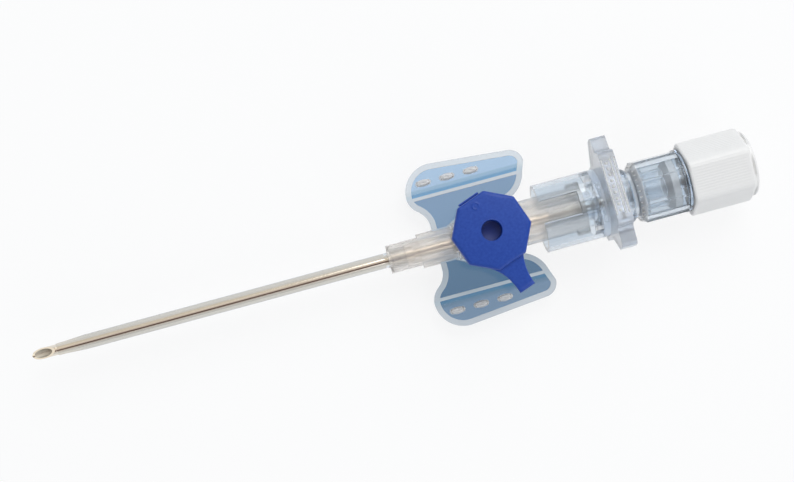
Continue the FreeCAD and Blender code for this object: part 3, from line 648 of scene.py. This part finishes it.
tab_grid = np.stack(
    [
        tab_x[:, None] + 0 * t,
        tab_middle[:, None] + (size * half_width)[:, None] * unit_y,
        tab_level[:, None] + (size * half_height)[:, None] * unit_z,
    ],
    -1,
)


def on_port(points):
    """Swing points to the tab's side of the port's axis and move them to the port."""
    x, y = swung(points[..., 0], points[..., 1])
    return np.stack([x + PORT_X, y, points[..., 2]], -1)


cap_grids = [on_port(cap_grid), on_port(tab_grid)]
piece("cap_moulding", cap_grids, cap_plastic, "cap", ["port_cap"])

# %% [markdown]
# ## The stopper
#
# The stopper is a six-sided collar with soft corners and fine lines along it for grip, and
# a round core that shows at its end. The same kind of grid is swept along the cannula: the
# section is a rounded hexagon, its radius rippled by a cosine, and the ends roll over. The
# lines are real grooves, because a bump in the material leaves the outline smooth.

# %% Stopper collar
low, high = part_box("luer_stopper")
FRONT, REAR = low.x / MM, high.x / MM
HEX_FLAT, HEX_CORNER, HEX_TURN = 4.945, 1.6, 20.0
LINES, LINE_DEPTH, LINE_END = 80, 0.028, 0.9
CORE, BORE, FLOOR, SHOULDER = 4.82, 4.2, 2.2, REAR - 0.6
MOUTH_ROLL, REAR_ROLL, CORE_ROLL = 0.35, 0.5, 0.35
CHAMFER_X, CHAMFER_R = 0.2, 0.15
DISH, DISH_DEPTH = 3.4, 0.25
hex_angles = np.linspace(0, 2 * math.pi, LINES * 8, endpoint=False)


def hexagon(inset, ripple=0.0):
    """Radius round the hexagon, moved in by inset, less ripple (1 + cos(LINES a))/2."""
    corner = HEX_CORNER - 0.9 * inset
    radius = polygon_radius(hex_angles + math.pi / 6, 6, HEX_FLAT - inset, corner)
    return radius - ripple * (0.5 + 0.5 * np.cos(LINES * hex_angles))


def circle(radius):
    """The same radius all the way round."""
    return np.full_like(hex_angles, radius)


roll = [(1 - math.cos(a), 1 - math.sin(a)) for a in np.linspace(0, math.pi / 2, 7)]
profile = [(REAR - FLOOR, circle(0.0)), (REAR - FLOOR, circle(BORE))]
profile += [(FRONT + CHAMFER_X, circle(BORE)), (FRONT, circle(BORE + CHAMFER_R))]
profile += [(FRONT + MOUTH_ROLL * c, hexagon(MOUTH_ROLL * s)) for c, s in roll]
profile += [(x, hexagon(0, LINE_DEPTH)) for x in (FRONT + LINE_END, SHOULDER - LINE_END)]
profile += [(SHOULDER - REAR_ROLL * s, hexagon(REAR_ROLL * c)) for c, s in roll]
profile += [(SHOULDER, np.minimum(circle(CORE), hexagon(REAR_ROLL) - 0.01))]
profile += [(REAR - CORE_ROLL * s, circle(CORE - CORE_ROLL * c)) for c, s in roll]
profile += [(REAR, circle(DISH)), (REAR - DISH_DEPTH, circle(DISH - 0.2))]
profile += [(REAR - DISH_DEPTH, circle(0.0))]
rings = np.stack([ring_about_x(x, radius, hex_angles) for x, radius in profile])
collar = turned(rings, degrees=HEX_TURN)
print("collar grid:", collar.shape)

# %% [markdown]
# Inside the collar stands the plug that closes the chamber's mouth. It is a luer cone, which
# loses 6 percent of its length on the diameter, so 3 percent on the radius. Its front end is
# worked out from the mouth's bore, with a little room so that it doesn't cut into the wall.

# %% Stopper plug
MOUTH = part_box("chamber_luer_end")[1].x / MM
MOUTH_BORE, LUER_SLOPE, PLUG_ROOM = 2.15, 0.03, 0.03
PLUG_BASE, PLUG_LENGTH, BASE_R, PLUG_EDGE, SUNK = REAR - FLOOR, 4.9, 2.1, 0.2, 0.3
plug_front = PLUG_BASE - PLUG_LENGTH
front_radius = MOUTH_BORE - LUER_SLOPE * (MOUTH - plug_front) - PLUG_ROOM
plug_profile = [(PLUG_BASE + SUNK, 0.0), (PLUG_BASE + SUNK, BASE_R), (PLUG_BASE, BASE_R)]
plug_profile += [(plug_front + PLUG_EDGE, front_radius), (plug_front, front_radius - PLUG_EDGE)]
plug_profile += [(plug_front, 0.0)]
plug_angles = np.linspace(0, 2 * math.pi, 64, endpoint=False)
plug = np.stack([ring_about_x(x, radius, plug_angles) for x, radius in plug_profile])
grids = [collar, plug]
piece("stopper_moulding", grids, stopper_plastic, "stopper", ["luer_stopper"])

# %% [markdown]
# ## Small moulded details
#
# The photograph is full of small bright marks inside the clear parts: dots and thin ridges
# on the grip plate, rings of short teeth that lock the mouldings, edges of the chamber, and
# soft mounds on the wings. Each is a few tenths of a millimetre high. They catch the light
# and make clear plastic readable, so they are worth their few faces. Dots, ridges, teeth
# and mounds come from an etched mould, and so have a frosted skin, which lets less than half
# of the light through.

# %% Frosted plastic for the details
frosted_plastic, tree, shader = material(
    "polypropylene_moulded_frosted",
    Base_Color=linear("#FAF9F8"),
    Roughness=0.3,
    IOR=1.49,
    Transmission_Weight=0.45,
)
grain(tree, shader, 0.25, 0.004)
print("frosted:", frosted_plastic.name)

# %% [markdown]
# Nine round dots stand in a row on the plate's rim, so that a finger doesn't slip. One dot is
# worked out as a flattened half ball with a flat foot, and then moved along the row. The
# plate leans a little to one side, so the finished row is turned with it.

# %% Grip dots
PLATE_TOP, PLATE_LEAN = 9.2, 9.0
DOTS, DOT_ROW, DOT_PITCH, DOT, DOT_FLAT, DOT_SINK = 9, 32.8, 0.86, 0.24, 0.7, 0.04
ring = np.linspace(0, 2 * math.pi, 12, endpoint=False)
rise = np.linspace(0, math.pi / 2, 5)[:, None]
level = PLATE_TOP - DOT_SINK + DOT * np.sin(rise) * DOT_FLAT + 0 * ring
spread = DOT * np.cos(rise)
ball = np.stack([DOT_ROW + spread * np.cos(ring), spread * np.sin(ring), level], -1)
foot = ball[:1].copy()
foot[..., :2] = DOT_ROW, 0.0
dot = np.concatenate([foot, ball])
places = (np.arange(DOTS) - DOTS // 2) * DOT_PITCH
dots = [turned(dot + np.array([0.0, y, 0.0]), degrees=PLATE_LEAN) for y in places]
piece("grip_dots", dots, frosted_plastic, "needle_unit")

# %% [markdown]
# Three thin ridges run along the plate's rim beside the row of dots. A round bar with
# rounded ends makes them, and it serves again further down. It is sunk into the plate, so
# that only its back stands out.


# %% Plate ridges
def bar(start, end, radius):
    """Round bar: circles of radius r cos(a) while a runs from -90 to 90 degrees."""
    start, end = np.array(start, float), np.array(end, float)
    length = np.linalg.norm(end - start)
    ahead = (end - start) / length
    side = np.cross(ahead, (0.0, 0.0, 1.0) if abs(ahead[2]) < 0.9 else (0.0, 1.0, 0.0))
    side = side / np.linalg.norm(side)
    up = np.cross(side, ahead)
    a = np.linspace(-math.pi / 2, math.pi / 2, 12)
    spine = np.where(a < 0, radius * (1 + np.sin(a)), length - radius * (1 - np.sin(a)))
    size = radius * np.cos(a)
    t = np.linspace(0, 2 * math.pi, 12, endpoint=False)
    spoke = np.cos(t)[:, None] * side + np.sin(t)[:, None] * up
    return start + spine[:, None, None] * ahead + size[:, None, None] * spoke


RIDGE, RIDGE_HALF, RIDGE_Z = 0.12, 4.1, PLATE_TOP - 0.08
ridges = [
    turned(bar((x, -RIDGE_HALF, RIDGE_Z), (x, RIDGE_HALF, RIDGE_Z), RIDGE), degrees=PLATE_LEAN)
    for x in (32.2, 33.4, 33.95)
]
piece("plate_ridges", ridges, frosted_plastic, "needle_unit")

# %% [markdown]
# The chamber is an eight-sided cup, and each of its edges carries a fine bead that catches
# the light as a bright line. Its front rim has a row of short teeth that grip the needle hub.
# Both are sets of bars along X, spread evenly round the axis at one distance from it.


# %% Chamber edges and teeth
def bars_round(count, distance, front, rear, radius):
    """Bars along X at y = D sin(a), z = D cos(a), with a in equal steps round the axis."""
    steps = [2 * math.pi * i / count for i in range(count)]
    places = [(distance * math.sin(a), distance * math.cos(a)) for a in steps]
    return [bar((front, y, z), (rear, y, z), radius) for y, z in places]


CHAMBER_CORNER, CHAMBER_LEAN = 4.74, 16.6
edges = bars_round(8, CHAMBER_CORNER, front=37.5, rear=43.6, radius=0.06)
edges = [turned(edge, degrees=CHAMBER_LEAN) for edge in edges]
piece("chamber_edges", edges, clear_plastic, "flash_unit")
TEETH, TEETH_R = 30, 4.06
teeth = bars_round(TEETH, TEETH_R, front=37.0, rear=37.6, radius=0.09)
piece("chamber_teeth", teeth, frosted_plastic, "flash_unit")

# %% [markdown]
# Inside the needle hub and the chamber, rings of rounded teeth hold the mouldings together.
# They show through the clear walls as rows of bright marks. A round section is carried round
# the axis and swells at each tooth: the tanh of a cosine gives teeth with steep flanks and
# flat tops, where a plain cosine would give waves.


# %% Toothed rings
def toothed(x, radius, teeth, thickness, depth):
    """Ring about X: a round section that grows and shrinks with tanh(3 cos(teeth a))."""
    a = np.linspace(0, 2 * math.pi, teeth * 8, endpoint=False)
    tooth = 0.5 + 0.5 * np.tanh(3 * np.cos(teeth * a))
    section = np.linspace(0, 2 * math.pi, 13)[:, None]
    reach = radius + (0.4 + 0.6 * tooth) * depth * np.sin(section)
    return ring_about_x(x + thickness * np.cos(section) * (0.6 + 0.4 * tooth), reach, a)


lock_ring = toothed(x=30.84, radius=2.85, teeth=26, thickness=0.17, depth=0.28)
piece("toothed_ring", [lock_ring], clear_plastic, "needle_unit")
front_ring = toothed(x=38.1, radius=3.45, teeth=24, thickness=0.3, depth=0.3)
rear_ring = toothed(x=42.1, radius=3.6, teeth=40, thickness=0.12, depth=0.2)
piece("chamber_rings", [front_ring, rear_ring], clear_plastic, "flash_unit")

# %% [markdown]
# The wings have three grip mounds each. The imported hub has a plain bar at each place, and a
# low dome with a dimple in its middle lies on the bar. With r growing from 0 at the middle
# to 1 at the edge, the dome's height is H (1 - r^2) less a small bell curve.

# %% Wing mounds
MOUND_A, MOUND_B, MOUND_H, MOUND_FOOT = 1.2, 0.52, 0.32, -3.24
DIMPLE_A, DIMPLE_B, DIMPLE_H = 0.35, 0.16, 0.17
FIRST_MOUND, MOUND_PITCH, MOUND_SIDE = 7.9, 3.65, 9.8
reach = np.linspace(1, 0, 20)[:, None]
ring = np.linspace(0, 2 * math.pi, 48, endpoint=False)
mound_x, mound_y = MOUND_A * reach * np.cos(ring), MOUND_B * reach * np.sin(ring)
dimple = DIMPLE_H * np.exp(-((mound_x / DIMPLE_A) ** 2) - (mound_y / DIMPLE_B) ** 2)
dome = MOUND_H * (1 - reach**2) - dimple
foot = np.zeros((1, len(ring), 3))
mound = np.concatenate([foot, np.stack([mound_x, mound_y, dome], -1)])
mounds = [
    mound + np.array([FIRST_MOUND + MOUND_PITCH * i, side * MOUND_SIDE, MOUND_FOOT])
    for side in (1, -1)
    for i in range(3)
]
piece("wing_mounds", mounds, frosted_plastic, "cannula")

# %% [markdown]
# ## Floor, lamps and camera
#
# The floor is matt white card just under the lowest point. A part of its white is given to
# the rays that look straight at it, also through clear plastic and in the steel, so that
# it stays white in the picture while the rest of it still takes the object's shadow.

# %% Floor
GLOW_SHARE, FLOOR_GAP, FLOOR_HALF = 0.85, 0.1 * MM, 1.5
card = bpy.data.materials.new("card_white_matt")
card.use_nodes = True
tree = card.node_tree
tree.nodes.clear()
matt = add(tree, "BsdfDiffuse", Color=linear("#F3F4F5"), Roughness=0.5)
glow = add(tree, "Emission", Color=linear("#FFFFFF"), Strength=1.0)
ray = add(tree, "LightPath").outputs
seen = add(tree, "Math", MAXIMUM, n0=ray["Is Camera Ray"], n1=ray["Is Glossy Ray"])
seen = add(tree, "Math", MAXIMUM, n0=seen.outputs[0], n1=ray["Is Transmission Ray"])
share = add(tree, "Math", {"operation": "MULTIPLY"}, n0=seen.outputs[0], n1=GLOW_SHARE)
mixed = add(tree, "MixShader", Fac=share.outputs[0], n1=matt.outputs[0], n2=glow.outputs[0])
add(tree, "OutputMaterial", Surface=mixed.outputs[0])
floor_z = cad_low.z - FLOOR_GAP
corners = [(-1, -1), (1, -1), (1, 1), (-1, 1)]
floor_points = [(FLOOR_HALF * x, FLOOR_HALF * y, floor_z) for x, y in corners]
floor_mesh = bpy.data.meshes.new("floor")
floor_mesh.from_pydata(floor_points, [], [(0, 1, 2, 3)])
floor_mesh.materials.append(card)
floor = bpy.data.objects.new("floor", floor_mesh)
bpy.context.scene.collection.objects.link(floor)
floor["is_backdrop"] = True
print("floor at z, mm:", round(floor_z / MM, 2))

# %% [markdown]
# Two large soft boxes light the object, a strong one from behind and a weak one from the
# front, both on the stopper's side so that the needle doesn't mirror them as a white
# stripe, at a level where a colour shows about as it is written.


# %% Lamps
def soft_box(name, place_mm, aim_mm, size_mm, power):
    """Square white area lamp at a place, turned to face a point."""
    data = bpy.data.lights.new(name, "AREA")
    data.shape, data.size, data.energy = "SQUARE", size_mm * MM, power
    lamp = bpy.data.objects.new(name, data)
    place, aim = Vector(place_mm) * MM, Vector(aim_mm) * MM
    facing = (aim - place).to_track_quat("-Z", "Y").to_matrix().to_4x4()
    lamp.matrix_world = Matrix.Translation(place) @ facing
    bpy.context.scene.collection.objects.link(lamp)


soft_box("key_box", place_mm=(170, 250, 330), aim_mm=(0, 0, 0), size_mm=340, power=1.15)
soft_box("fill_box", place_mm=(150, -330, 240), aim_mm=(10, 0, 0), size_mm=300, power=0.45)

# %% [markdown]
# The world adds an even light. Steel and glass have no look of their own and only show the
# room, so what they mirror is drawn apart from what lights the object. Across the needle's
# length the room runs from a pale wall, past the dark shape of the camera overhead, to warm
# lamplight and a pale wall again, which is one ramp over the angle from wall to wall. Rays
# that come straight from the camera see plain white.

# %% Room
ROOM_BANDS = [
    (0.0, "#D6DADD"),
    (0.15, "#E4E3E1"),
    (0.26, "#D6CEC9"),
    (0.32, "#5E463C"),
    (0.4, "#5E463C"),
    (0.45, "#D3C3BC"),
    (0.56, "#FAEFDF"),
    (0.68, "#F1E5D4"),
    (0.78, "#E8E0D8"),
    (0.88, "#F6F5F3"),
    (1.0, "#E2E8EE"),
]
world = bpy.data.worlds.new("room")
bpy.context.scene.world = world
world.use_nodes = True
tree = world.node_tree
tree.nodes.clear()
direction = add(tree, "SeparateXYZ", Vector=add(tree, "TexCoord").outputs["Generated"]).outputs
lean = add(tree, "Math", {"operation": "ARCTAN2"}, n0=direction["Y"], n1=direction["Z"])
overhead = {"From_Min": -math.pi / 2, "From_Max": math.pi / 2}
wall_to_wall = add(tree, "MapRange", Value=lean.outputs[0], **overhead)
mirrored = add(tree, "ValToRGB", stops=ROOM_BANDS, Fac=wall_to_wall.outputs[0])
ray = add(tree, "LightPath").outputs
bent = add(tree, "Math", MAXIMUM, n0=ray["Is Glossy Ray"], n1=ray["Is Transmission Ray"])
lit = add(tree, "Mix", RGBA, n0=bent.outputs[0], n6=linear("#B2B6BB"), n7=mirrored.outputs[0])
seen = add(tree, "Mix", RGBA, n0=ray["Is Camera Ray"], n6=lit.outputs[2], n7=linear("#F6F7F8"))
background = add(tree, "Background", Color=seen.outputs[2], Strength=1.0)
add(tree, "OutputWorld", Surface=background.outputs[0])
bpy.context.scene.view_settings.view_transform = "Standard"
print("room drawn; view transform:", bpy.context.scene.view_settings.view_transform)

# %% [markdown]
# The picture was taken from almost straight above, about 175 mm from the cannula's axis,
# with the cannula lying 15 degrees up to the right. The lens follows from the scale: 6.85
# pixels to the millimetre at that distance.

# %% Camera
TILT, SLANT = math.radians(2.3), math.radians(15.147)
DISTANCE, PIXELS_PER_MM, PICTURE_WIDTH = 175.2, 6.85, 794
AIM = (1.9, 2.34, 0.0)
back = Vector((0, -math.sin(TILT), math.cos(TILT)))
right = Vector((math.cos(SLANT), -math.sin(SLANT), 0))
right = (right - right.dot(back) * back).normalized()
upright = Matrix((right, back.cross(right), back)).transposed().to_4x4()
camera_data = bpy.data.cameras.new("camera")
camera_data.sensor_width = 36
camera_data.lens = camera_data.sensor_width * PIXELS_PER_MM * DISTANCE / PICTURE_WIDTH
camera_data.clip_start, camera_data.clip_end = 0.005, 10
camera = bpy.data.objects.new("camera", camera_data)
place = Vector(AIM) * MM + back * DISTANCE * MM
camera.matrix_world = Matrix.Translation(place) @ upright
bpy.context.scene.collection.objects.link(camera)
bpy.context.scene.camera = camera
print("lens, mm:", round(camera_data.lens, 2))

# %% [markdown]
# ## Last measure
#
# The dressed object's box is measured and printed, beside the modelled one's box kept from the
# start. The dressed object may not outgrow the modelled one, so both boxes are kept.

# %% Keep both boxes
low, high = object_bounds()
print("visual box, mm:", [round((b - a) / MM, 2) for a, b in zip(low, high)])
